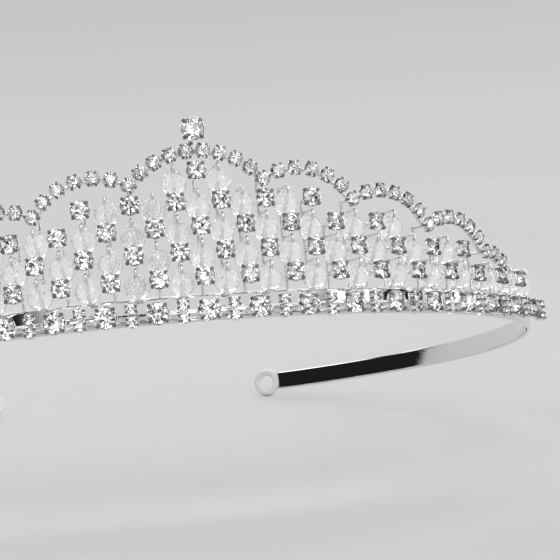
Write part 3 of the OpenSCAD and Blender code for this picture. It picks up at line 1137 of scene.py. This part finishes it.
class TIARA_OT_beads(bpy.types.Operator):
    """Makes the rows of faceted glass beads"""

    bl_idname = "tiara.beads"
    bl_label = "Beads"

    def execute(self, context):
        for i, row in enumerate(ROWS):
            build_beads(row, 20 + i)
        return {"FINISHED"}


class TIARA_OT_bead_wires(bpy.types.Operator):
    """Makes the bent wires that hold the beads"""

    bl_idname = "tiara.bead_wires"
    bl_label = "Bead Wires"

    def execute(self, context):
        for row in ROWS:
            build_hooks(row)
        return {"FINISHED"}


class TIARA_OT_wall_stones(bpy.types.Operator):
    """Makes the claw-set stones between the beads"""

    bl_idname = "tiara.wall_stones"
    bl_label = "Wall Stones"

    def execute(self, context):
        s, band = settings("stones"), settings("band")
        stem = (STEM_D, band.front_radius + settings("beads").upright / 2)
        for i, row in enumerate(ROWS):
            build_stones(f"stones_{row}", f"wall_brilliants_{row}", 40 + i)
            claw_piece(
                *build_settings(
                    f"stones_{row}", f"settings_{row}", f"wall_cups_{row}",
                    s.claw, SQUARE, stem=stem,
                )
            )
        return {"FINISHED"}


class TIARA_OT_scallops(bpy.types.Operator):
    """Makes the scalloped chain of small stones and the wire behind it"""

    bl_idname = "tiara.scallops"
    bl_label = "Scalloped Chain"

    def execute(self, context):
        s = settings("stones")
        for i, part in enumerate(SCALLOPS):
            stones = f"chain_stones_{part}"
            build_stones(stones, f"chain_brilliants_{part}", 60 + i, 1.13)
            claw_piece(
                *build_settings(
                    stones, f"chain_settings_{part}", f"chain_cups_{part}",
                    s.small_claw, CHAIN, slopes=chain_slopes(part),
                )
            )
            build_scallop_wire(part)
        return {"FINISHED"}


class TIARA_OT_top_stone(bpy.types.Operator):
    """Makes the single stone over the middle"""

    bl_idname = "tiara.top_stone"
    bl_label = "Top Stone"

    def execute(self, context):
        s = settings("stones")
        build_stones("top_stone", "top_brilliant", 77)
        claw_piece(*build_settings("top_stone", "top_setting", "top_cup", s.claw * 1.1, SQUARE))
        return {"FINISHED"}


class TIARA_OT_stage(bpy.types.Operator):
    """Makes the table, the studio light and the camera"""

    bl_idname = "tiara.stage"
    bl_label = "Stage"

    def execute(self, context):
        stage = settings("stage")
        build_floor(stage)
        build_camera(stage)
        build_light(stage)
        studio_world(stage)
        context.scene.view_settings.view_transform = "Standard"
        context.scene.cycles.use_denoising = True
        return {"FINISHED"}


OPERATORS = (
    TIARA_OT_headband,
    TIARA_OT_end_loops,
    TIARA_OT_frame_wires,
    TIARA_OT_base_row,
    TIARA_OT_beads,
    TIARA_OT_bead_wires,
    TIARA_OT_wall_stones,
    TIARA_OT_scallops,
    TIARA_OT_top_stone,
    TIARA_OT_stage,
)


class TIARA_PT_panel(bpy.types.Panel):
    """Lists the steps that build the tiara"""

    bl_idname = "TIARA_PT_panel"
    bl_label = "Bridal Tiara"
    bl_space_type = "VIEW_3D"
    bl_region_type = "UI"
    bl_category = "Tiara"

    def draw(self, context):
        for group in GROUPS:
            box = self.layout.box()
            data = getattr(context.scene, "tiara_" + group.__name__.rsplit("_", 1)[1])
            for key in group.__annotations__:
                box.prop(data, key)
        for operator in OPERATORS:
            self.layout.operator(operator.bl_idname)


def register():
    for c in GROUPS + OPERATORS + (TIARA_PT_panel,):
        bpy.utils.register_class(c)
    for group in GROUPS:
        name = "tiara_" + group.__name__.rsplit("_", 1)[1]
        setattr(bpy.types.Scene, name, PointerProperty(type=group))


def unregister():
    for group in GROUPS:
        delattr(bpy.types.Scene, "tiara_" + group.__name__.rsplit("_", 1)[1])
    for c in reversed(GROUPS + OPERATORS + (TIARA_PT_panel,)):
        bpy.utils.unregister_class(c)


def main():
    register()
    for operator in OPERATORS:
        family, name = operator.bl_idname.split(".")
        if getattr(getattr(bpy.ops, family), name)() != {"FINISHED"}:
            raise RuntimeError(f"{operator.bl_label} did not finish")


if __name__ == "__main__":
    main()
